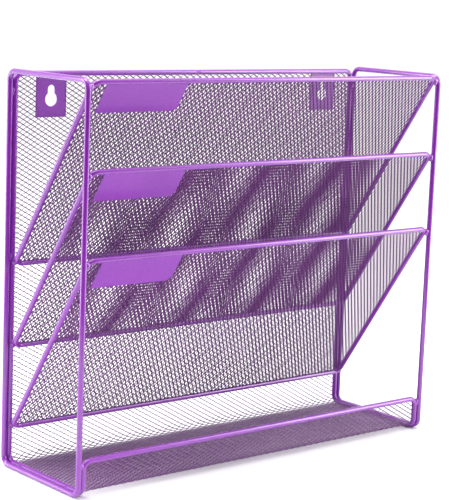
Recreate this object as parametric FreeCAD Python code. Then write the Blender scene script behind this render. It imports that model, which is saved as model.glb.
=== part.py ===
import FreeCAD, Part
import math
import os

from FreeCAD import Vector

# Hanging file rack: welded steel wire and expanded mesh, three sloping pockets over an open tray.
# Millimetres. +X runs along the rack's width, +Y points to the wall, +Z is up.
# The origin is the middle of the footprint, on the surface that the rack stands on.

# ---- overall size, outside to outside of the side frames ----
overall_width = 330.0
overall_depth = 96.0
overall_height = 280.0

# ---- wire ----
post_wire_d = 4.0         # the two side frames
rim_wire_d = 4.0          # the wire around the back, floor and lip
pocket_wire_d = 3.8       # the three pocket frames
side_bend_r = 6.0         # centreline bend radii
rim_bend_r = 6.0
pocket_bend_r = 6.0

# ---- sheet ----
mesh_thickness = 0.5      # expanded steel mesh
keyhole_plate_thickness = 1.2
label_plate_thickness = 0.8

# ---- basket: back, floor and lip ----
rim_top_drop = 2.0        # rim's top run below the side frames' top run
rim_bottom_rise = 0.75    # rim's floor runs above the side frames' bottom run
rim_front_setback = 0.8   # rim's front runs behind the front posts
lip_height = 25.0         # centreline of the lip's top run above the surface

# ---- pockets ----
pocket_names = ["top", "middle", "bottom"]
pocket_top_drop = 1.0     # top pocket's front wire below the side frames' top run
pocket_fall = 132.0       # how far a pocket's panel falls from front to back
pocket_clearance = 25.75  # lowest pocket's back wire above the basket's floor wires

# ---- label plates, at the left end of each pocket's front wire ----
label_width = 67.0
label_height = 25.0       # measured down the slope from the pocket's front wire
label_inset = 11.0        # from the pocket's side wire
label_corner_cut = 3.5    # cut at the lower inner corner

# ---- keyhole plates for hanging ----
keyhole_inset = 36.0      # from the outside of a side frame to the keyhole's centre
keyhole_plate_width = 25.0
keyhole_plate_height = 30.5
keyhole_entry_r = 5.0
keyhole_slot_r = 3.0
keyhole_rise = 7.0        # from the entry's centre to the slot's centre
keyhole_edge = 12.5       # from the plate's lower edge to the entry's centre
mesh_window_lap = 0.8     # how far the mesh laps over the plate's edges

# ---- welded joints ----
weld_gap = 0.15           # between two wires that are welded side by side
bead_r = 1.6              # less than each wire's radius
bottom_bead_spacing = 56.0  # between the two beads under each side of the basket
middle_bead_z = 150.0       # height of the bead half-way up each back post

# ---- places worked out from the sizes above ----
post_r = post_wire_d / 2
rim_r = rim_wire_d / 2
pocket_r = pocket_wire_d / 2
post_x = overall_width / 2 - post_r
post_y = overall_depth / 2 - post_r
post_top = overall_height - post_r
rim_x = post_x - post_r - weld_gap - rim_r
rim_back_y = post_y
rim_front_y = -post_y + rim_front_setback
rim_top = post_top - rim_top_drop
rim_floor = post_r + rim_bottom_rise
pocket_x = post_x - post_r - weld_gap - pocket_r
pocket_front_y = -post_y
pocket_back_y = rim_back_y - rim_r - weld_gap - pocket_r
pocket_top = post_top - pocket_top_drop
pocket_room = pocket_top - pocket_fall - pocket_clearance - rim_floor
pocket_pitch = pocket_room / (len(pocket_names) - 1)
pocket_run = pocket_back_y - pocket_front_y
pocket_slope = math.hypot(pocket_run, pocket_fall)
keyhole_x = overall_width / 2 - keyhole_inset
keyhole_plate_y = rim_back_y + mesh_thickness / 2
keyhole_plate_bottom = rim_top - keyhole_plate_height
keyhole_z = keyhole_plate_bottom + keyhole_edge


def rounded_path(points, radius, closed=True):
    """Straight runs through the points, joined at each corner by a tangent arc."""
    count = len(points)
    corners = []
    for i in range(count):
        corner = points[i]
        if not closed and i in (0, count - 1):
            corners.append((corner, None, corner))
            continue
        back = (points[i - 1] - corner).normalize()
        ahead = (points[(i + 1) % count] - corner).normalize()
        half_angle = back.getAngle(ahead) / 2
        cut = radius / math.tan(half_angle)
        middle_way = (back + ahead).normalize()
        middle = corner + middle_way * (radius / math.sin(half_angle) - radius)
        corners.append((corner + back * cut, middle, corner + ahead * cut))
    edges = []
    for i in range(count):
        start, middle, end = corners[i]
        if middle is not None:
            edges.append(Part.Arc(start, middle, end).toShape())
        if closed or i < count - 1:
            edges.append(Part.LineSegment(end, corners[(i + 1) % count][0]).toShape())
    return Part.Wire(edges)


def wire_ring(points, radius, wire_r):
    """A round wire bent along the closed path through the points."""
    path = rounded_path(points, radius)
    first = path.OrderedEdges[0]
    start = first.valueAt(first.FirstParameter)
    heading = first.tangentAt(first.FirstParameter)
    section = Part.Wire(Part.makeCircle(wire_r, start, heading))
    return path.makePipeShell([section], True, False)


def plate(outline, thickness_way):
    """A flat plate: the outline's face pushed along thickness_way."""
    return Part.Face(outline).extrude(thickness_way)


def side_frame(side):
    """One closed side frame, standing in the YZ plane at the left (-1) or right (1)."""
    x = side * post_x
    points = [
        Vector(x, -post_y, post_r),
        Vector(x, post_y, post_r),
        Vector(x, post_y, post_top),
        Vector(x, -post_y, post_top),
    ]
    return wire_ring(points, side_bend_r, post_r)


def rim_points():
    """Corners of the rim wire: up the back, down each side, along the floor and round the lip."""
    left = [
        Vector(-rim_x, rim_back_y, rim_top),
        Vector(-rim_x, rim_back_y, rim_floor),
        Vector(-rim_x, rim_front_y, rim_floor),
        Vector(-rim_x, rim_front_y, lip_height),
    ]
    right = [Vector(-p.x, p.y, p.z) for p in reversed(left)]
    return left + right


def upright_panel(y, top, bottom):
    """A mesh panel in the XZ plane, bounded by the rim's centreline, with two rounded top corners."""
    points = [
        Vector(-rim_x, y, bottom),
        Vector(-rim_x, y, top),
        Vector(rim_x, y, top),
        Vector(rim_x, y, bottom),
    ]
    outline = rounded_path(points, rim_bend_r, closed=False)
    base = Part.LineSegment(points[-1], points[0]).toShape()
    return plate(Part.Wire(outline.Edges + [base]), Vector(0, mesh_thickness, 0))


def bend_strip(y, outward):
    """The quarter-round bend between the floor and an upright panel; outward is +1 at the back."""
    centre = Vector(-rim_x, y - outward * rim_bend_r, rim_floor + rim_bend_r)
    outer = rim_bend_r + mesh_thickness / 2
    inner = rim_bend_r - mesh_thickness / 2
    diagonal = math.sqrt(0.5)

    def on_bend(radius, out_share, down_share):
        return centre + Vector(0, outward * radius * out_share, -radius * down_share)

    outer_arc = Part.Arc(on_bend(outer, 1, 0), on_bend(outer, diagonal, diagonal), on_bend(outer, 0, 1))
    inner_arc = Part.Arc(on_bend(inner, 0, 1), on_bend(inner, diagonal, diagonal), on_bend(inner, 1, 0))
    edges = [
        outer_arc.toShape(),
        Part.LineSegment(on_bend(outer, 0, 1), on_bend(inner, 0, 1)).toShape(),
        inner_arc.toShape(),
        Part.LineSegment(on_bend(inner, 1, 0), on_bend(outer, 1, 0)).toShape(),
    ]
    return plate(Part.Wire(edges), Vector(2 * rim_x, 0, 0))


def upright_mesh(y, outward, top, rim):
    """Back or lip: the upright panel and the bend below it, trimmed to the rim wire."""
    panel = upright_panel(y - mesh_thickness / 2, top, rim_floor + rim_bend_r)
    return panel.fuse(bend_strip(y, outward)).removeSplitter().cut(rim)


def floor_mesh(rim):
    """The flat floor between the two bends, trimmed to the rim wire."""
    front = rim_front_y + rim_bend_r
    back = rim_back_y - rim_bend_r
    corner = Vector(-rim_x, front, rim_floor - mesh_thickness / 2)
    sheet = Part.makeBox(2 * rim_x, back - front, mesh_thickness, corner)
    return sheet.cut(rim)


def pocket_point(top, x, down, lift=0.0):
    """A point on a pocket's sloping plane: down is along the slope, lift is square to its underside."""
    along = down / pocket_slope
    under = lift / pocket_slope
    y = pocket_front_y + pocket_run * along - pocket_fall * under
    z = top - pocket_fall * along - pocket_run * under
    return Vector(x, y, z)


def pocket_outline(top):
    """The four corners of a pocket's frame on its wire's centreline."""
    return [
        pocket_point(top, -pocket_x, 0),
        pocket_point(top, pocket_x, 0),
        pocket_point(top, pocket_x, pocket_slope),
        pocket_point(top, -pocket_x, pocket_slope),
    ]


def pocket_frame(top):
    """A closed rectangle of wire on the pocket's sloping plane."""
    return wire_ring(pocket_outline(top), pocket_bend_r, pocket_r)


def under_way(length):
    """A step of the given length, square to a pocket's underside."""
    return pocket_point(0, 0, 0, length) - pocket_point(0, 0, 0)


def pocket_mesh(top, frame):
    """The pocket's mesh panel, centred on its frame's plane and trimmed to the wire."""
    outline = rounded_path(pocket_outline(top), pocket_bend_r)
    sheet = plate(outline, under_way(mesh_thickness))
    sheet.translate(under_way(-mesh_thickness / 2))
    return sheet.cut(frame)


def label_plate(top, frame):
    """A flat plate against the underside of the pocket's mesh, hung from the front wire."""
    left = -pocket_x + label_inset
    right = left + label_width
    lift = mesh_thickness / 2
    corners = [
        pocket_point(top, left, 0, lift),
        pocket_point(top, right, 0, lift),
        pocket_point(top, right, label_height - label_corner_cut, lift),
        pocket_point(top, right - label_corner_cut, label_height, lift),
        pocket_point(top, left, label_height, lift),
    ]
    outline = Part.makePolygon(corners + corners[:1])
    return plate(outline, under_way(label_plate_thickness)).cut(frame)


def keyhole_cutter(x):
    """The keyhole's shape, running right through the plate along Y."""
    depth = 4 * keyhole_plate_thickness
    y = keyhole_plate_y - depth / 2
    through = Vector(0, 1, 0)
    entry = Part.makeCylinder(keyhole_entry_r, depth, Vector(x, y, keyhole_z), through)
    end = Part.makeCylinder(keyhole_slot_r, depth, Vector(x, y, keyhole_z + keyhole_rise), through)
    slot_corner = Vector(x - keyhole_slot_r, y, keyhole_z)
    slot = Part.makeBox(2 * keyhole_slot_r, depth, keyhole_rise, slot_corner)
    return entry.fuse([end, slot])


def keyhole_plate(side, rim):
    """A plate under the rim's top run, against the wall side of the back mesh."""
    x = side * keyhole_x
    corner = Vector(x - keyhole_plate_width / 2, keyhole_plate_y, keyhole_plate_bottom)
    blank = Part.makeBox(keyhole_plate_width, keyhole_plate_thickness, keyhole_plate_height, corner)
    return blank.cut(rim).cut(keyhole_cutter(x))


def mesh_window(side):
    """The opening in the back mesh in front of a keyhole plate."""
    width = keyhole_plate_width - 2 * mesh_window_lap
    bottom = keyhole_plate_bottom + mesh_window_lap
    top = rim_top - rim_r - mesh_window_lap
    corner = Vector(side * keyhole_x - width / 2, rim_back_y - mesh_thickness, bottom)
    return Part.makeBox(width, 2 * mesh_thickness, top - bottom, corner)


def trimmed_beads(joints, wires):
    """A round plug of weld metal from one wire's centreline to the other's, with the wires taken out."""
    pieces = []
    for start, end in joints:
        step = end - start
        plug = Part.makeCylinder(bead_r, step.Length, start, step)
        pieces.extend(plug.cut(wires).Solids)
    return Part.makeCompound(pieces)


def on_both_sides(joints):
    """The joints, which are given for the right side, and their mirror images."""
    left = [(Vector(-a.x, a.y, a.z), Vector(-b.x, b.y, b.z)) for a, b in joints]
    return left + joints


def rim_joints():
    """Where the rim wire is welded to the side frames."""
    high = rim_top - 2 * rim_bend_r
    low = lip_height - rim_bend_r / 2
    joints = [
        (Vector(rim_x, rim_back_y, high), Vector(post_x, post_y, high)),
        (Vector(rim_x, rim_back_y, middle_bead_z), Vector(post_x, post_y, middle_bead_z)),
        (Vector(rim_x, rim_front_y, low), Vector(post_x, -post_y, low)),
    ]
    for y in (-bottom_bead_spacing / 2, bottom_bead_spacing / 2):
        joints.append((Vector(rim_x, y, rim_floor), Vector(post_x, y, post_r)))
    return on_both_sides(joints)


def pocket_front_joints(tops):
    """Where each pocket's front corners are welded to the front posts."""
    joints = []
    for top in tops:
        wire = pocket_point(top, pocket_x, pocket_bend_r)
        joints.append((wire, Vector(post_x, -post_y, wire.z)))
    return on_both_sides(joints)


def pocket_back_joints(tops):
    """Where each pocket's back corners are welded to the rim's back uprights."""
    corner = pocket_bend_r * (1 - math.sqrt(0.5))
    joints = []
    for top in tops:
        wire = pocket_point(top, pocket_x - corner, pocket_slope - corner)
        joints.append((wire, Vector(rim_x, rim_back_y, wire.z)))
    return on_both_sides(joints)


def build():
    """Every node's shape by name."""
    parts = {}
    parts["side_frame_left"] = side_frame(-1)
    parts["side_frame_right"] = side_frame(1)
    rim = wire_ring(rim_points(), rim_bend_r, rim_r)
    parts["basket_rim_wire"] = rim

    back = upright_mesh(rim_back_y, 1, rim_top, rim)
    parts["back_mesh"] = back.cut([mesh_window(-1), mesh_window(1)])
    parts["floor_mesh"] = floor_mesh(rim)
    parts["lip_mesh"] = upright_mesh(rim_front_y, -1, lip_height, rim)
    parts["keyhole_plate_left"] = keyhole_plate(-1, rim)
    parts["keyhole_plate_right"] = keyhole_plate(1, rim)

    tops = [pocket_top - pocket_pitch * level for level in range(len(pocket_names))]
    frames = []
    for level, top in zip(pocket_names, tops):
        frame = pocket_frame(top)
        frames.append(frame)
        parts[level + "_pocket_frame"] = frame
        parts[level + "_pocket_mesh"] = pocket_mesh(top, frame)
        parts[level + "_label_plate"] = label_plate(top, frame)

    sides = [parts["side_frame_left"], parts["side_frame_right"]]
    wires = sides + [rim] + frames
    parts["rim_weld_beads"] = trimmed_beads(rim_joints(), wires)
    parts["pocket_front_weld_beads"] = trimmed_beads(pocket_front_joints(tops), wires)
    parts["pocket_back_weld_beads"] = trimmed_beads(pocket_back_joints(tops), wires)
    return parts


os.makedirs("parts", exist_ok=True)
for name, shape in build().items():
    shape.exportStep("parts/" + name + ".step")
    print(name, "solids", len(shape.Solids), "volume", round(shape.Volume, 1), "valid", shape.isValid())
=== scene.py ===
# %% [markdown]
# # A hanging file rack in welded wire and expanded steel mesh
# The rack hangs on a wall by two keyholes, or stands on a desk. Two closed wire frames are its sides.
# Between them sits a basket: one wire bent round the back, the floor and a low front lip, filled by one
# bent sheet of expanded steel mesh. Three sloping pockets, each a wire frame with its own sheet of mesh,
# are welded between the front posts and the back. The whole rack is dipped or sprayed in violet enamel.
# Each step below says what a piece is on the real object before its code makes it.

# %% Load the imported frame
import math

import bpy
import numpy as np
from mathutils import Euler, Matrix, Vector


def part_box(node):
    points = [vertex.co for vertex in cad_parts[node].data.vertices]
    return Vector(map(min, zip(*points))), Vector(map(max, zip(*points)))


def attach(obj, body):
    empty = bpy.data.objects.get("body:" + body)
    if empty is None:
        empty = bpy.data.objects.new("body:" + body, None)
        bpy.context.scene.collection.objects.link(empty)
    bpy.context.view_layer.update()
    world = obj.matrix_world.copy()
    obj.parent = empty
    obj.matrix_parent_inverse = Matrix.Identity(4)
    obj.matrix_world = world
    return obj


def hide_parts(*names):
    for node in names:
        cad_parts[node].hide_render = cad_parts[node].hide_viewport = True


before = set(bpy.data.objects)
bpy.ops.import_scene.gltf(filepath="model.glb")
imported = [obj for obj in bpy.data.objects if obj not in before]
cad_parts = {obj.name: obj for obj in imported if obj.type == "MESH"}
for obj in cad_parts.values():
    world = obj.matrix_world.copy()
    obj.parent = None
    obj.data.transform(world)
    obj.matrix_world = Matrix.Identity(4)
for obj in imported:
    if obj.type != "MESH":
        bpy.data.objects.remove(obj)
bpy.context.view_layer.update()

MM = 0.001
print("packed nodes:", len(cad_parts))

# %% [markdown]
# ## How a mesh gets into Blender
# Every piece here is a surface worked out as whole arrays of points, with the faces that join them.
# A single helper turns those arrays into a mesh object. It also works out the volume that the faces
# enclose: a positive volume shows that the surface is closed and that its faces point outwards.


# %% From arrays to a piece
def enclosed_volume(points, faces):
    """Sum over triangles of corner . (corner x corner) / 6, after each face is cut into triangles."""
    fans = [np.stack([f[:, 0], f[:, k], f[:, k + 1]], 1) for f in faces for k in range(1, f.shape[1] - 1)]
    a, b, c = (points[np.concatenate(fans)[:, k]] for k in range(3))
    return np.einsum("ij,ij->i", a, np.cross(b, c)).sum() / 6


def make_piece(name, points, faces, finish, stands_for, smooth=True):
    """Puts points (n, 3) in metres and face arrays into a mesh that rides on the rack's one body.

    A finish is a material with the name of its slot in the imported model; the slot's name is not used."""
    material, slot = finish
    mesh = bpy.data.meshes.new(name)
    mesh.from_pydata(points.tolist(), [], [f for group in faces for f in group.tolist()])
    mesh.polygons.foreach_set("use_smooth", np.full(len(mesh.polygons), smooth))
    mesh.materials.append(material)
    mesh.update()
    piece = bpy.data.objects.new(name, mesh)
    bpy.context.scene.collection.objects.link(piece)
    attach(piece, "root")
    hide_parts(*stands_for)
    triangles = sum(len(group) * (group.shape[1] - 2) for group in faces)
    print(f"{name}: {triangles} triangles, {enclosed_volume(points, faces) * 1e6:.2f} cm3 of steel")
    return piece


# %% [markdown]
# ## Finding real sizes
# The wires were drawn to stock sizes, so their diameters are given here in millimetres. Where each wire
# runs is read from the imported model's boxes, so the looks always follow the engineering model.

# %% Sizes shared by several pieces
POST_WIRE = 4.0 * MM
RIM_WIRE = 4.0 * MM
POCKET_WIRE = 3.8 * MM
SIDE_BEND = 6.0 * MM
RIM_BEND = 6.0 * MM
POCKET_BEND = 6.0 * MM
LEVELS = ("top", "middle", "bottom")

rim_low, rim_high = (np.array(corner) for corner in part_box("basket_rim_wire"))
rim_low, rim_high = rim_low + RIM_WIRE / 2, rim_high - RIM_WIRE / 2
lip_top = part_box("lip_mesh")[1].z + RIM_WIRE / 2
print("rim centreline from", np.round(rim_low * 1000, 2), "to", np.round(rim_high * 1000, 2))
print("the lip's wire is", round(lip_top * 1000, 2), "mm up")

# %% [markdown]
# ## Enamel
# The real finish is a baked gloss enamel over steel, violet and fairly deep. Wires take a thick coat that
# flows smooth and shines. The mesh takes a thin coat on sharp sheared edges, so it looks duller. Its tones
# are painted darker and greyer than the wire's, as painted shade for the strands' shaded faces.
# The hanging plates and label plates are flat pressed sheet with a satin skin. All three are one recipe:
# two close tones mixed by slow noise, a finer speckle, a roughness that wanders, and the shallow ripple
# called orange peel, which a sprayed coat always has. Each pattern's size is given in millimetres.


# %% Colour and node helpers
def from_hex(code):
    """sRGB hex to linear: c / 12.92 below 0.04045, and ((c + 0.055) / 1.055) ** 2.4 above it."""
    channels = [int(code[k:k + 2], 16) / 255 for k in (0, 2, 4)]
    return [c / 12.92 if c <= 0.04045 else ((c + 0.055) / 1.055) ** 2.4 for c in channels] + [1.0]


def add_node(tree, kind, links=None, **settings):
    """Adds one node. Settings name its properties or sockets, and links maps sockets to other outputs."""
    node = tree.nodes.new(kind)
    for key, value in settings.items():
        if hasattr(node, key):
            setattr(node, key, value)
        else:
            node.inputs[key.replace("_", " ")].default_value = value
    for key, output in (links or {}).items():
        tree.links.new(output, node.inputs[key])
    return node


def per_metre(millimetres):
    """The noise scale whose features are about that many millimetres across."""
    return 1000.0 / millimetres


# %% The enamel recipe
CLOUD, SPECK, PEEL = 45, 2.2, 1.4  # how many millimetres across the patterns' features are
COAT_ROUGHNESS = 0.12


def enamel(name, deep, pale, roughness, coat, ripple):
    """One sprayed enamel: two tones, a roughness range, the gloss on top and the ripple's height in mm."""
    material = bpy.data.materials.new(name)
    material.use_nodes = True
    tree = material.node_tree
    tree.nodes.clear()
    place = add_node(tree, "ShaderNodeTexCoord").outputs["Object"]
    cloud = add_node(tree, "ShaderNodeTexNoise", {"Vector": place}, Scale=per_metre(CLOUD), Detail=3.0)
    speck = add_node(tree, "ShaderNodeTexNoise", {"Vector": place}, Scale=per_metre(SPECK), Detail=2.0)
    blend = add_node(tree, "ShaderNodeMath", {0: cloud.outputs["Fac"], 1: speck.outputs["Fac"]},
                     operation="ADD")
    share = add_node(tree, "ShaderNodeMapRange", {"Value": blend.outputs[0]}, From_Min=0.7, From_Max=1.3)
    tone = add_node(tree, "ShaderNodeMix", {"Factor": share.outputs[0]}, data_type="RGBA")
    tone.inputs[6].default_value = from_hex(deep)
    tone.inputs[7].default_value = from_hex(pale)
    sheen = add_node(tree, "ShaderNodeMapRange", {"Value": speck.outputs["Fac"]}, From_Min=0.3, From_Max=0.7,
                     To_Min=roughness[0], To_Max=roughness[1])
    peel = add_node(tree, "ShaderNodeTexNoise", {"Vector": place}, Scale=per_metre(PEEL), Detail=1.0)
    bump = add_node(tree, "ShaderNodeBump", {"Height": peel.outputs["Fac"]}, Strength=1.0,
                    Distance=ripple * MM)
    skin = add_node(tree, "ShaderNodeBsdfPrincipled", {
        "Base Color": tone.outputs[2], "Roughness": sheen.outputs[0], "Normal": bump.outputs[0]})
    skin.inputs["IOR"].default_value = 1.5
    skin.inputs["Coat Weight"].default_value = coat
    skin.inputs["Coat Roughness"].default_value = COAT_ROUGHNESS
    add_node(tree, "ShaderNodeOutputMaterial", {"Surface": skin.outputs[0]})
    print(name, "tones", deep, pale)
    return material


# Gloss enamel on drawn wire: a wet, saturated violet with pale streaks where a bright wall is mirrored.
WIRE_ENAMEL = (enamel("gloss_enamel_on_drawn_wire", "8424A6", "8E2CB0", (0.23, 0.26), 1.0, 0.001),
               "wire_enamel")
# Thin enamel on expanded mesh: duller, with tones painted darker and greyer than the wire's as painted shade
# on the strands.
MESH_ENAMEL_PAINTED_SHADE = (enamel("thin_enamel_on_expanded_mesh_painted_shade", "5C246A", "73347F", (0.34, 0.44), 0.4, 0.003),
               "mesh_enamel")
# Satin enamel on pressed plate: an even, softer violet with a faint orange peel.
PLATE_ENAMEL = (enamel("satin_enamel_on_pressed_plate", "8029A3", "9035B1", (0.40, 0.48), 0.2, 0.004),
                "plate_enamel")

# %% [markdown]
# ## The bent wires
# A bending machine feeds straight wire over a round pin, so each frame is straight runs joined by arcs of
# one radius, and its two ends meet in a butt weld. A curve with a bevel would give the same shape, but a
# profile carried along a path keeps every ring of points in our hands: the weld collar can be pinched in
# where the ends were upset, and the arcs get exactly as many rings as they need.


# %% A closed line of runs and arcs
def unit(vectors):
    """Each vector divided by its own length."""
    return vectors / np.linalg.norm(vectors, axis=-1, keepdims=True)


def bent_line(corners, bend, steps=10):
    """Closed line through the corners, rounded. At a corner that turns by angle t, the arc starts
    bend * tan(t / 2) before it. Its centre lies on the bisector, bend / cos(t / 2) from the corner, and a
    point is centre + (start - centre) * cos(a) + ahead * bend * sin(a)."""
    here = np.array(corners, float)
    ahead, after = unit(here - np.roll(here, 1, 0)), unit(np.roll(here, -1, 0) - here)
    turn = np.arccos(np.clip((ahead * after).sum(1), -1, 1))[:, None]
    start = here - ahead * bend * np.tan(turn / 2)
    centre = here + unit(after - ahead) * bend / np.cos(turn / 2)
    angle = (turn * np.linspace(0, 1, steps + 1))[..., None]
    arc = centre[:, None] + (start - centre)[:, None] * np.cos(angle) + ahead[:, None] * bend * np.sin(angle)
    return arc.reshape(-1, 3)


def with_stations(line, near, spacing):
    """The closed line with extra points at the given distances either side of its point nearest to near."""
    loop = np.vstack([line, line[:1]])
    far = np.concatenate([[0], np.cumsum(np.linalg.norm(np.diff(loop, axis=0), axis=1))])
    run, along = np.diff(loop, axis=0), near - loop[:-1]
    part = np.clip((run * along).sum(1) / (run * run).sum(1), 0, 1)
    miss = np.linalg.norm(along - run * part[:, None], axis=1)
    at = far[miss.argmin()] + part[miss.argmin()] * np.linalg.norm(run[miss.argmin()])
    stops = np.sort(np.concatenate([far[:-1], at + spacing]))
    return np.stack([np.interp(stops, far, loop[:, k]) for k in range(3)], 1), stops - at


# %% A round wire along a line
STEER = unit(np.array((0.48, 0.60, 0.64)))  # no wire of the rack runs this way, so it can steer every ring


def grid_faces(rows, columns, wrap_rows=True):
    """Four-sided faces between neighbouring points of a grid whose columns close into a ring, and whose
    rows do too if asked."""
    row, column = np.meshgrid(np.arange(rows if wrap_rows else rows - 1), np.arange(columns), indexing="ij")
    here, below, beside = row * columns, (row + 1) % rows * columns, (column + 1) % columns
    return np.stack([here + column, here + beside, below + beside, below + column], -1).reshape(-1, 4)


def wire(line, radius, sides=28):
    """Ring k lies across the line at point k: point + radius * (side * cos(a) + up * sin(a)), where side
    and up are square to the line's direction. Radius may differ from ring to ring."""
    ahead = unit(np.roll(line, -1, 0) - np.roll(line, 1, 0))
    side = unit(np.cross(STEER, ahead))
    up = np.cross(ahead, side)
    angle = np.linspace(0, 2 * math.pi, sides, endpoint=False)[None, :, None]
    reach = np.broadcast_to(radius, len(line))[:, None, None]
    rings = line[:, None] + reach * (side[:, None] * np.cos(angle) + up[:, None] * np.sin(angle))
    return rings.reshape(-1, 3), [grid_faces(len(line), sides)]


SEAM_STOPS = np.linspace(-2.4, 2.4, 17) * MM
NECK_AWAY, NECK_SPREAD, NECK_DEPTH = 1.1 * MM, 0.45 * MM, 0.16 * MM


def wire_with_seam(corners, bend, diameter, seam):
    """A closed wire with its butt weld at seam. The collar keeps the wire's own diameter. A neck each side
    of it is thinner by depth * exp(-((distance - away) / spread) ** 2), as where the two ends were squeezed
    together and dressed with a file."""
    line, off = with_stations(bent_line(corners, bend), np.array(seam), SEAM_STOPS)
    neck = np.exp(-((np.abs(off) - NECK_AWAY) / NECK_SPREAD) ** 2)
    return wire(line, diameter / 2 - NECK_DEPTH * neck)


# %% [markdown]
# ### Side frames
# Each side is a closed rectangle of 4 mm wire standing on the desk. They carry all the weight, and their
# lower runs are what touches the desk. The butt weld sits half-way up the back post, against the wall.

# %% Left and right side frames
for side in ("left", "right"):
    low, high = (np.array(corner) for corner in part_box("side_frame_" + side))
    low, high = low + POST_WIRE / 2, high - POST_WIRE / 2
    middle = (low[0] + high[0]) / 2
    around = [(low[1], low[2]), (high[1], low[2]), (high[1], high[2]), (low[1], high[2])]
    corners = [(middle, y, z) for y, z in around]
    seam = (middle, high[1], (low[2] + high[2]) / 2)
    points, faces = wire_with_seam(corners, SIDE_BEND, POST_WIRE, seam)
    make_piece(side + "_side_wire", points, faces, WIRE_ENAMEL, ["side_frame_" + side])

# %% [markdown]
# ### Basket rim
# One wire makes the rim of the whole basket. It is first bent as a long flat rectangle, and then both long
# runs are bent twice, so it goes down the back, along the floor and up to the lip. Its butt weld is in the
# middle of the top run.

# %% The rim's eight corners
left, back, top = rim_low[0], rim_high[1], rim_high[2]
front, floor_level = rim_low[1], rim_low[2]
half_rim = [(left, back, top), (left, back, floor_level), (left, front, floor_level), (left, front, lip_top)]
rim_corners = half_rim + [(-x, y, z) for x, y, z in reversed(half_rim)]
points, faces = wire_with_seam(rim_corners, RIM_BEND, RIM_WIRE, (0.0, back, top))
make_piece("basket_rim", points, faces, WIRE_ENAMEL, ["basket_rim_wire"])

# %% [markdown]
# ### Pocket frames
# Each pocket is a rectangle of slightly thinner wire lying on a slope: its front run is welded between the
# front posts, and its back run is welded to the basket's rim lower down. Folders stand in the wedge between
# the pocket's mesh and the back. The three are alike, so one loop makes them. Each loop's butt weld is in
# its back run, a little to the left of the middle.

# %% Three sloping pocket frames
SEAM_LEFT = 0.17  # the weld's distance from the middle, as a share of half the width
pockets = {}
for level in LEVELS:
    low, high = (np.array(corner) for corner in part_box(level + "_pocket_frame"))
    low, high = low + POCKET_WIRE / 2, high - POCKET_WIRE / 2
    front_y, back_y, high_z, low_z = low[1], high[1], high[2], low[2]
    front_run, back_run = np.array((0, front_y, high_z)), np.array((0, back_y, low_z))
    half_width = np.array((high[0], 0, 0))
    pockets[level] = {"front": front_run, "back": back_run, "half": high[0]}
    corners = [front_run - half_width, back_run - half_width, back_run + half_width, front_run + half_width]
    seam = back_run - SEAM_LEFT * half_width
    points, faces = wire_with_seam(corners, POCKET_BEND, POCKET_WIRE, seam)
    make_piece(level + "_pocket_wire", points, faces, WIRE_ENAMEL, [level + "_pocket_frame"])

# %% [markdown]
# ## Expanded steel mesh
# Expanded mesh is not woven. A press slits a steel sheet in staggered rows and pulls it, and each slit opens
# into a diamond. Four strands meet at each knuckle, and because the tool pushes down as it cuts, the
# strands end up as leaning slats, like a louvre: one long edge of a knuckle stands out on one side of the
# sheet and the other edge on the other side. That lean is why a sheet looks more open from one side than
# from the other, so it has to be real geometry and not a picture. The lattice is worked out as numbered
# diamonds. Even-numbered places are holes and odd-numbered ones are knuckles. Each hole owns four corner
# points, and every flat face between them is either a knuckle or a strand, so thousands of diamonds cost
# only about twenty triangles each.

# %% The lattice's sizes
BASKET_DIAMOND = (3.1 * MM, 1.75 * MM)    # half of a diamond's long way and of its short way
POCKET_DIAMOND = (2.88 * MM, 1.77 * MM)   # the same for the pockets' sheets
STRAND = 0.42 * MM  # a strand's width as seen square to the sheet
BASKET_LEAN = 0.45 * MM  # how far a knuckle's edges stand out, one to each side of the sheet
POCKET_LEAN = 0.60 * MM  # the pockets' sheets are cut a little steeper
GAUGE = 0.32 * MM   # the steel's own thickness, square to a knuckle


def opening(diamond):
    """Half the long way and half the short way of the hole that is left inside a diamond's four strands."""
    slant = math.atan2(diamond[1], diamond[0])
    return diamond[0] - STRAND / 2 / math.sin(slant), diamond[1] - STRAND / 2 / math.cos(slant)


for diamond in (BASKET_DIAMOND, POCKET_DIAMOND):
    print("opening of a diamond in mm:", [round(2000 * v, 2) for v in opening(diamond)])


# %% Knuckles and strands on a flat grid
SPARE = 2  # rows of diamonds past the sheet's ends, to be trimmed off


def lattice(diamond, low, high, lean):
    """Flat coordinates (long way, short way, lean) of every hole's right, top, left and bottom corner, and
    the faces between holes. A knuckle joins its left, lower, right and upper hole. Two strands go up from
    it, to the right and to the left. Low and high are the ends of the flat area that it has to cover."""
    i_low, j_low = np.floor(np.divide(low, diamond)) - SPARE
    i_high, j_high = np.ceil(np.divide(high, diamond)) + SPARE
    i, j = np.meshgrid(np.arange(i_low, i_high + 1), np.arange(j_low, j_high + 1), indexing="ij")
    number = np.full(i.shape, -1)
    is_hole = (i + j) % 2 == 0
    number[is_hole] = np.arange(is_hole.sum())
    centre = np.stack([i[is_hole] * diamond[0], j[is_hole] * diamond[1], np.zeros(is_hole.sum())], 1)
    hole = opening(diamond)
    to_corner = np.array([(hole[0], 0, 0), (0, hole[1], -lean), (-hole[0], 0, 0), (0, -hole[1], lean)])
    corners = (centre[:, None] + to_corner).reshape(-1, 3)
    knuckle = ~is_hole[1:-1, 1:-1]
    left, right = number[:-2, 1:-1][knuckle] * 4, number[2:, 1:-1][knuckle] * 4
    under, over = number[1:-1, :-2][knuckle] * 4, number[1:-1, 2:][knuckle] * 4
    faces = np.concatenate([
        np.stack([left, under + 1, right + 2, over + 3], 1),
        np.stack([right + 2, right + 1, over, over + 3], 1),
        np.stack([left, over + 3, over + 2, left + 1], 1)])
    return corners, faces


# %% Trimming the lattice to its wire
TINY = 1e-9  # keeps a division from failing where its divisor is nothing


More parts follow.
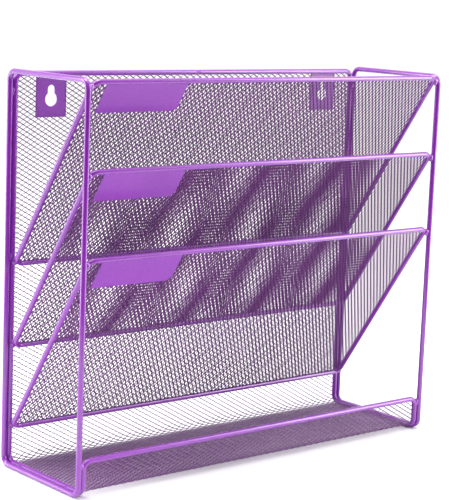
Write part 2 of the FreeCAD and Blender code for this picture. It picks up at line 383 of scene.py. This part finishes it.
def to_rounded_outline(flat, half_width, low, high, bend):
    """Moves points outside a rounded rectangle to its edge, and says which were inside. A point's overhang
    past the inner rectangle, which is smaller by bend all round, is shortened to bend."""
    middle, half = np.array((0, (low + high) / 2)), np.array((half_width, (high - low) / 2)) - bend
    away = flat[:, :2] - middle
    inner = np.clip(away, -half, half)
    over = away - inner
    length = np.linalg.norm(over, axis=1, keepdims=True)
    flat = flat.copy()
    flat[:, :2] = middle + inner + over * np.minimum(1, bend / np.maximum(length, TINY))
    return flat, length[:, 0] <= bend


def out_of_window(flat, window):
    """Moves points inside a window, open at its top, to its nearest side or lower edge, and says which
    points were outside."""
    left, right, bottom = window
    x, y = flat[:, 0], flat[:, 1]
    inside = (x > left) & (x < right) & (y > bottom)
    gaps = np.stack([x - left, right - x, y - bottom])
    nearest = gaps.argmin(0)
    flat = flat.copy()
    flat[inside & (nearest == 0), 0] = left
    flat[inside & (nearest == 1), 0] = right
    flat[inside & (nearest == 2), 1] = bottom
    return flat, ~inside


# %% A sheet of lattice with thickness
def mesh_sheet(place, half_width, low, high, bend, diamond, lean, turned=False, keep=None, windows=()):
    """Faces whose middle is inside the outline are kept, and their corners are trimmed to it. The two skins
    lie half the gauge either side, along the direction square to a knuckle. Place turns flat points into
    room points. Each edge that only one face uses gets a wall between the two skins. A turned sheet has its
    diamonds' long way along it instead of across."""
    half_gauge = GAUGE / 2 * unit(np.array((0, -lean, diamond[1] - opening(diamond)[1])))
    if turned:
        flat, faces = lattice(diamond, (low, -half_width), (high, half_width), lean)
        flat, faces, half_gauge = flat[:, (1, 0, 2)], faces[:, ::-1], half_gauge[[1, 0, 2]]
    else:
        flat, faces = lattice(diamond, (-half_width, low), (half_width, high), lean)
    middle = flat[faces].mean(1)
    kept = to_rounded_outline(middle, half_width, low, high, bend)[1]
    for window in windows:
        kept &= out_of_window(middle, window)[1]
    if keep is not None:
        kept &= keep(middle[:, 1])
    faces = faces[kept]
    used, faces = np.unique(faces, return_inverse=True)
    faces = faces.reshape(-1, 4)
    flat = to_rounded_outline(flat[used], half_width, low, high, bend)[0]
    for window in windows:
        flat = out_of_window(flat, window)[0]
    ends = np.stack([faces, np.roll(faces, -1, 1)], -1).reshape(-1, 2)
    keys = np.sort(ends, 1) @ np.array((len(flat), 1))
    once = np.unique(keys, return_index=True, return_counts=True)
    rim = ends[once[1][once[2] == 1]]
    count = len(flat)
    walls = np.stack([rim[:, 0], rim[:, 0] + count, rim[:, 1] + count, rim[:, 1]], 1)
    points = np.vstack([place(flat + half_gauge), place(flat - half_gauge)])
    return points, [faces, faces[:, ::-1] + count, walls]


# %% [markdown]
# ### The basket's sheet
# Back, floor and lip are one sheet, bent twice over the same radius as the rim wire. Its diamonds are laid
# out flat and then wrapped along the bent line, so they run on round both bends as they do in steel. It is
# cut into three pieces at whole diamonds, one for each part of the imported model. The back has two windows
# in its upper corners, and the sheared strand ends show round them like a row of teeth.


# %% Wrapping a flat lattice round the bends
def wrap_line(points, bend, steps=16):
    """The same rounding as a bent line, for an open line in the upright plane, with the distance along it
    and the direction that the sheet's inner face looks in at each point."""
    loop = bent_line([(0, *p) for p in points], bend, steps)[:, 1:]
    inside = slice(steps + 1, -(steps + 1))
    line = np.vstack([points[0], loop[inside], points[-1]])
    far = np.concatenate([[0], np.cumsum(np.linalg.norm(np.diff(line, axis=0), axis=1))])
    ahead = unit(np.gradient(line, far, axis=0))
    return line, far, np.stack([-ahead[:, 1], ahead[:, 0]], 1)


path_corners = np.array([(front, lip_top), (front, floor_level), (back, floor_level), (back, top)])
path, path_far, path_face = wrap_line(path_corners, RIM_BEND)


def on_basket(flat):
    """Width stays x, distance along the sheet follows the bent line, and lean goes along the inner face."""
    y, z, face_y, face_z = (np.interp(flat[:, 1], path_far, v) for v in (*path.T, *path_face.T))
    return np.stack([flat[:, 0], y + face_y * flat[:, 2], z + face_z * flat[:, 2]], 1)


length = path_far[-1]
lip_end = lip_top - floor_level - RIM_BEND + RIM_BEND * math.pi / 2
floor_end = lip_end + (back - front) - 2 * RIM_BEND
print("the basket's sheet is", round(length * 1000, 1), "mm long before bending")

# %% Back, floor and lip
LAP = 0.8 * MM  # how far the sheet's cut edge runs over a hanging plate
windows = []
for side in ("left", "right"):
    low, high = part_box("keyhole_plate_" + side)
    windows.append((low.x + LAP, high.x - LAP, length - (top - low.z) + LAP))

basket = {
    "back": lambda along: along > floor_end,
    "floor": lambda along: (along > lip_end) & (along <= floor_end),
    "lip": lambda along: along <= lip_end,
}
for part, keep in basket.items():
    cuts = windows if part == "back" else ()
    points, faces = mesh_sheet(on_basket, -left, 0.0, length, RIM_BEND, BASKET_DIAMOND, BASKET_LEAN,
                               keep=keep, windows=cuts)
    make_piece(part + "_expanded_mesh", points, faces, MESH_ENAMEL_PAINTED_SHADE, [part + "_mesh"], smooth=False)

# %% [markdown]
# ### The pockets' sheets
# A pocket's sheet is flat and fills its frame. It is cut from its roll the other way round than the basket's
# sheet, so its diamonds stand upright: their long way runs up the slope, and their slats lean sideways.
# From the rack's left the slats turn their flats to the eye, so a pocket looks more closed from there than
# it does from the right.


# %% Three sloping sheets
def on_slope(pocket):
    """A placing rule for one pocket, and its slope's length. Distance along the sheet goes up the slope, and
    lean goes to the outer side."""
    uphill = pocket["front"] - pocket["back"]
    up = unit(uphill)
    outer = np.array((0, -up[2], up[1]))

    def place(flat):
        return np.array((1, 0, 0)) * flat[:, :1] + pocket["back"] + up * flat[:, 1:2] + outer * flat[:, 2:]

    return place, float(np.linalg.norm(uphill))


for level in LEVELS:
    place, slope = on_slope(pockets[level])
    points, faces = mesh_sheet(place, pockets[level]["half"], 0.0, slope, POCKET_BEND, POCKET_DIAMOND,
                               POCKET_LEAN, turned=True)
    node = level + "_pocket_mesh"
    make_piece(level + "_pocket_expanded_mesh", points, faces, MESH_ENAMEL_PAINTED_SHADE, [node], smooth=False)

# %% [markdown]
# ## Pressed plates
# Two kinds of small plate are welded on before the enamel. The hanging plates fill the windows in the back
# and have a keyhole: a screw head passes the round entry, and the rack drops until the shank sits in the
# slot. The label plates lie against the outer face of each pocket's mesh at its left end, with one corner cut
# away. Punched sheet has a slightly rounded arris once it is painted, so both kinds are an outline carried
# over a small rounded edge.


# %% Outlines as closed rings of points
def even_ring(outline, count):
    """The closed outline cut again into count equal steps of its length."""
    loop = np.vstack([outline, outline[:1]])
    far = np.concatenate([[0], np.cumsum(np.linalg.norm(np.diff(loop, axis=0), axis=1))])
    stops = np.linspace(0, far[-1], count, endpoint=False)
    return np.stack([np.interp(stops, far, loop[:, k]) for k in range(2)], 1)


ARRIS = 0.22 * MM  # the painted edge's rounding
EDGE_ANGLES = np.linspace(0, math.pi / 2, 4)


def plate_section(thickness):
    """Half of a plate's cross-section, from its front face to its back: how far in from the outline, as
    arris * (1 - sin a), and how deep, as arris * (1 - cos a)."""
    inset = ARRIS * (1 - np.sin(EDGE_ANGLES))
    depth = ARRIS * (1 - np.cos(EDGE_ANGLES))
    return np.concatenate([inset, inset[::-1]]), np.concatenate([depth, thickness - depth[::-1]])


# %% [markdown]
# ### Hanging plates
# The keyhole is a large circle for the screw head joined by straight sides to a smaller one above it, so
# the plate is a band: its inner edge is the keyhole and its outer edge the plate's own outline. Both edges
# are sampled at the same angles round the keyhole, and the section goes from one to the other and back.

# %% Keyhole and plate outlines at the same angles
ENTRY_R, SLOT_R = 5.0 * MM, 3.0 * MM
RISE = 7.0 * MM       # from the entry's centre up to the slot's
ENTRY_UP = 12.5 * MM  # from the plate's lower edge up to the entry's centre
ANGLES = 96           # even steps round the keyhole


def keyhole_radius(angle):
    """Distance from the entry's centre to the keyhole's edge: the larger of the entry circle, and the
    slot's two upright sides topped by its own circle."""
    c, s = np.cos(angle), np.sin(angle)
    sides = SLOT_R / np.maximum(np.abs(c), TINY)
    cap = RISE * s + np.sqrt(np.maximum((RISE * s) ** 2 - RISE ** 2 + SLOT_R ** 2, 0))
    on_cap = (s > 0) & (sides * s > RISE)
    slot = np.where(on_cap, cap, sides)
    return np.where((s > 0) & (slot > ENTRY_R), slot, ENTRY_R)


def box_radius(angle, left, right, bottom, top):
    """Distance from the entry's centre to a rectangle round it: the nearer of the two sides that the ray
    points to."""
    c, s = np.cos(angle), np.sin(angle)
    far = np.stack([np.where(c > 0, right, -left) / np.maximum(np.abs(c), TINY),
                    np.where(s > 0, top, -bottom) / np.maximum(np.abs(s), TINY)])
    return far.min(0)


def keyhole_plate(low, high):
    """Each ring is the band's whole section at one angle: over the outer edge from front to back, and over
    the keyhole's edge from back to front."""
    centre = np.array(((low.x + high.x) / 2, low.z + ENTRY_UP))
    edges = (low.x - centre[0], high.x - centre[0], low.z - centre[1], high.z - centre[1])
    # the plate's corners, where the entry meets the slot's sides, and where those meet the slot's cap
    special = [math.atan2(z, x) for x in edges[:2] for z in edges[2:]]
    shoulder = math.acos(SLOT_R / ENTRY_R)
    spring = math.atan2(RISE, SLOT_R)
    special += [shoulder, math.pi - shoulder, spring, math.pi - spring]
    even = np.linspace(-math.pi, math.pi, ANGLES, endpoint=False)
    angle = np.unique(np.concatenate([even, special]))
    inset, depth = plate_section(high.y - low.y)
    inner = keyhole_radius(angle)[:, None] + inset
    outer = box_radius(angle, *edges)[:, None] - inset
    reach = np.concatenate([outer, inner[:, ::-1]], 1)
    deep = np.concatenate([depth, depth[::-1]])
    x = centre[0] + reach * np.cos(angle)[:, None]
    z = centre[1] + reach * np.sin(angle)[:, None]
    y = np.broadcast_to(low.y + deep, x.shape)
    return np.stack([x, y, z], -1).reshape(-1, 3), [grid_faces(len(angle), len(deep))]


for side in ("left", "right"):
    node = "keyhole_plate_" + side
    points, faces = keyhole_plate(*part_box(node))
    make_piece(side + "_hanging_plate", points, faces, PLATE_ENAMEL, [node], smooth=False)

# %% [markdown]
# ### Label plates
# A label plate gives a flat place to stick a name on. It is a rectangle about 25 mm high with its lower inner
# corner cut, tucked under the front wire and lying on the slope. Its surface starts at a point in the middle
# of its front face, spreads to the outline, turns over the edge and closes at a point on its back.

# %% Plates against the pockets' meshes
OUTLINE_POINTS = 240
LABEL_HEIGHT, CORNER_CUT, CORNER_R = 25.0 * MM, 3.5 * MM, 0.4 * MM
LABEL_GAUGE = 0.8 * MM
LABEL_LIFT = 0.25 * MM  # from the middle of the pocket's sheet to the plate's nearer face
UNDER_WIRE = 0.4 * MM   # the plate's upper edge stops this far from the front wire's centre


def capped_shell(rings):
    """Closes a stack of rings (k, n, 3) with one point in the middle of the first and the last ring."""
    stack, count = rings.shape[:2]
    points = np.vstack([rings.reshape(-1, 3), rings[0].mean(0), rings[-1].mean(0)])
    here = np.arange(count)
    beside = (here + 1) % count
    first, last = stack * count, stack * count + 1
    tail = (stack - 1) * count
    caps = np.concatenate([np.stack([np.full(count, first), here, beside], 1),
                           np.stack([np.full(count, last), tail + beside, tail + here], 1)])
    return points, [grid_faces(stack, count, wrap_rows=False)[:, ::-1], caps]


for level in LEVELS:
    node = level + "_label_plate"
    low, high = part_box(node)
    place, slope = on_slope(pockets[level])
    upper, lower = slope - UNDER_WIRE, slope - LABEL_HEIGHT
    corners = [(low.x, lower, 0), (high.x - CORNER_CUT, lower, 0), (high.x, lower + CORNER_CUT, 0),
               (high.x, upper, 0), (low.x, upper, 0)]
    outline = even_ring(bent_line(corners, CORNER_R, steps=5)[:, :2], OUTLINE_POINTS)
    inset, depth = plate_section(LABEL_GAUGE)
    inward = unit(outline.mean(0) - outline)
    flat = outline[None] + inward[None] * inset[:, None, None]
    lifted = np.broadcast_to((LABEL_LIFT + LABEL_GAUGE - depth)[:, None, None], (*flat.shape[:2], 1))
    rings = place(np.concatenate([flat, lifted], -1).reshape(-1, 3)).reshape(*flat.shape[:2], 3)
    points, faces = capped_shell(rings)
    make_piece(level + "_label_sheet", points, faces, PLATE_ENAMEL, [node], smooth=False)

# %% [markdown]
# ## Welds
# Wherever two wires lie side by side, a welder fused them into a lump that fills the groove between them.
# The enamel flows over it and makes it look soft and bright, and a pinhole is often left where gas came out.
# Each weld here is a stretched ball with a slow ripple and one pit, all a little different, set between the
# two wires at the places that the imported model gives.


# %% Where the welds are
LUMP_REACH = 8 * MM


def weld_places(node):
    """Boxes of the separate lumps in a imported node. All points within a lump's reach of the first one that
    is left make one lump."""
    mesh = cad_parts[node].data
    left_over = np.empty(len(mesh.vertices) * 3)
    mesh.vertices.foreach_get("co", left_over)
    left_over = left_over.reshape(-1, 3)
    boxes = []
    while len(left_over):
        near = np.linalg.norm(left_over - left_over[0], axis=1) < LUMP_REACH
        boxes.append((left_over[near].min(0), left_over[near].max(0)))
        left_over = left_over[~near]
    return np.array(boxes)


# %% Soft lumps between wires
rng = np.random.default_rng(7)
UPRIGHT_WELD = np.array((2.5, 1.85, 2.8)) * MM  # half sizes of a weld between two upright wires
CORNER_WELD = np.array((3.2, 1.9, 2.8)) * MM    # of a weld that fills the corner between a pocket and a post
FLOOR_WELD = np.array((2.4, 2.8, 1.7)) * MM     # and of one between two wires that lie along the floor
TO_CORNER = np.array((0.0, -1.2, 2.0)) * MM     # a corner weld sits this far forward and up
NEAR_FLOOR = 5.0 * MM  # a weld whose middle is lower than this lies along the floor
RIPPLE, PIT, PIT_SPREAD = 0.07, 0.3, 0.28  # shares of the ball's own radius


def weld_lumps(boxes, upright_half, shift, rings=23, sides=36):
    """Latitude p and longitude q give a ball's direction. Its reach is 1 + ripple * sin(3 q + a) *
    sin(2 p + b), less a pit of depth * exp(-(distance / spread) ** 2) on the side away from the wall. The
    ball is then stretched to the weld's size."""
    p = np.linspace(0, math.pi, rings + 2)[1:-1, None]
    q = np.linspace(0, 2 * math.pi, sides, endpoint=False)[None, :]
    ball = np.stack([np.sin(p) * np.cos(q), np.sin(p) * np.sin(q), np.cos(p) * np.ones_like(q)], -1)
    all_points, all_faces, start = [], [[], []], 0
    for low, high in boxes:
        a, b, across, up = rng.uniform((0, 0, -0.5, -0.4), (2 * math.pi, 2 * math.pi, 0.5, 0.4))
        pit_way = unit(np.array((across, -1.0, up)))
        pit = PIT * np.exp(-(np.linalg.norm(ball - pit_way, axis=-1) / PIT_SPREAD) ** 2)
        reach = 1 + RIPPLE * np.sin(3 * q + a) * np.sin(2 * p + b) - pit
        middle = (low + high) / 2 + shift
        half = FLOOR_WELD if middle[2] < NEAR_FLOOR else upright_half
        points, (quads, caps) = capped_shell(middle + ball * reach[..., None] * half)
        all_points.append(points)
        all_faces[0].append(quads + start)
        all_faces[1].append(caps + start)
        start += len(points)
    return np.vstack(all_points), [np.concatenate(group) for group in all_faces]


welds = {
    "rim_weld_beads": (UPRIGHT_WELD, np.zeros(3)),
    "pocket_front_weld_beads": (CORNER_WELD, TO_CORNER),
    "pocket_back_weld_beads": (UPRIGHT_WELD, np.zeros(3)),
}
for node, (half, shift) in welds.items():
    places = weld_places(node)
    print(node, len(places), "welds, first box in mm", np.round((places[0][1] - places[0][0]) * 1000, 2))
    points, faces = weld_lumps(places, half, shift)
    make_piece(node.replace("_beads", "s"), points, faces, WIRE_ENAMEL, [node])

# %% [markdown]
# ## Floor, light and camera
# The rack stands in a bright white studio. A wide soft ceiling and large panels at both sides and above give
# nearly all the light, and one weak panel in front lifts the shadows. The walls behind the camera are dark,
# and the floor stops 0.45 m in front of the rack's middle. That is what draws a pale line along both edges
# of every wire and leaves its middle deep violet. To the back and the right the floor runs on for 60 m, and
# the camera sees the walls as white as the floor, so no edge shows.

# %% A pale floor
FLOOR_LEFT, FLOOR_FRONT, FLOOR_FAR = -0.6, -0.45, 60.0
floor_corners = [(FLOOR_LEFT, FLOOR_FRONT, 0), (FLOOR_FAR, FLOOR_FRONT, 0),
                 (FLOOR_FAR, FLOOR_FAR, 0), (FLOOR_LEFT, FLOOR_FAR, 0)]
floor_mesh = bpy.data.meshes.new("studio_floor")
floor_mesh.from_pydata(floor_corners, [], [(0, 1, 2, 3)])
studio_floor = bpy.data.objects.new("studio_floor", floor_mesh)
bpy.context.scene.collection.objects.link(studio_floor)
paper = bpy.data.materials.new("white_studio_paper")
paper.use_nodes = True
paper.node_tree.nodes["Principled BSDF"].inputs["Base Color"].default_value = from_hex("FCFCFD")
paper.node_tree.nodes["Principled BSDF"].inputs["Roughness"].default_value = 0.9
floor_mesh.materials.append(paper)
print("floor corners in m:", floor_corners)

# %% The camera
EYE = Vector((-0.7631, -0.8977, 0.3444))
# The tilt up from straight down, the roll, and the heading to the left of +Y, which is negative to the right.
TURN = Euler([math.radians(a) for a in (80.572, -2.272, -40.0065)])
LENS, SENSOR = 116.96, 36.0  # in mm
camera_data = bpy.data.cameras.new("camera")
camera_data.lens, camera_data.sensor_width = LENS, SENSOR
camera = bpy.data.objects.new("camera", camera_data)
bpy.context.scene.collection.objects.link(camera)
camera.location, camera.rotation_euler = EYE, TURN
bpy.context.scene.camera = camera
bpy.context.scene.view_settings.view_transform = "Standard"
ahead_of_camera = TURN.to_matrix() @ Vector((0, 0, -1))
print("lens", LENS, "mm, looking along", [round(v, 4) for v in ahead_of_camera])

# %% Studio walls, dark behind the camera
DARK_WALL, BRIGHT_WALL, SEEN_WALL = 0.06, 0.95, 1.0
DARK_END, BRIGHT_END = -0.9, 0.3  # cosines of the angle away from straight ahead
world = bpy.data.worlds.new("white_studio")
bpy.context.scene.world = world
world.use_nodes = True
sky = world.node_tree
sky.nodes.clear()
direction = add_node(sky, "ShaderNodeTexCoord").outputs["Generated"]
facing = add_node(sky, "ShaderNodeVectorMath", {0: direction}, operation="DOT_PRODUCT")
facing.inputs[1].default_value = ahead_of_camera
wall = add_node(sky, "ShaderNodeMapRange", {"Value": facing.outputs["Value"]},
                interpolation_type="SMOOTHSTEP", From_Min=DARK_END, From_Max=BRIGHT_END,
                To_Min=DARK_WALL, To_Max=BRIGHT_WALL)
seen = add_node(sky, "ShaderNodeLightPath").outputs["Is Camera Ray"]
strength = add_node(sky, "ShaderNodeMix", {0: seen, 2: wall.outputs[0]}, data_type="FLOAT")
strength.inputs[3].default_value = SEEN_WALL
light = add_node(sky, "ShaderNodeBackground", {"Strength": strength.outputs[0]}, Color=from_hex("FFFFFF"))
add_node(sky, "ShaderNodeOutputWorld", {"Surface": light.outputs[0]})
print("walls from", DARK_WALL, "behind the camera to", BRIGHT_WALL, "beyond the rack")


# %% Soft panels and the ceiling
AIM = Vector((0, 0, 0.13))


def soft_panel(name, place, width, height, power):
    """A rectangular lamp of so many watts: its own -Z axis is turned along the line from place to aim."""
    lamp = bpy.data.lights.new(name, "AREA")
    lamp.shape, lamp.size, lamp.size_y, lamp.energy = "RECTANGLE", width, height, power
    holder = bpy.data.objects.new(name, lamp)
    bpy.context.scene.collection.objects.link(holder)
    holder.location = place
    holder.rotation_euler = (AIM - Vector(place)).to_track_quat("-Z", "Y").to_euler()
    print(name, power, "W,", width, "by", height, "m")


soft_panel("overhead_panel", (-0.35, 0.1, 1.4), 0.6, 1.2, 17)
soft_panel("left_panel", (-1.15, 0.96, 0.5), 0.5, 1.5, 17)
soft_panel("right_panel", (1.15, -0.96, 0.5), 0.5, 1.5, 17)
soft_panel("front_panel", (-0.95, -1.6, 1.05), 1.1, 1.1, 3)

CEILING_STRENGTH, CEILING_WIDTH = 1.6, math.radians(80)
ceiling = bpy.data.lights.new("white_ceiling", "SUN")
ceiling.energy, ceiling.angle = CEILING_STRENGTH, CEILING_WIDTH
ceiling_holder = bpy.data.objects.new("white_ceiling", ceiling)
bpy.context.scene.collection.objects.link(ceiling_holder)
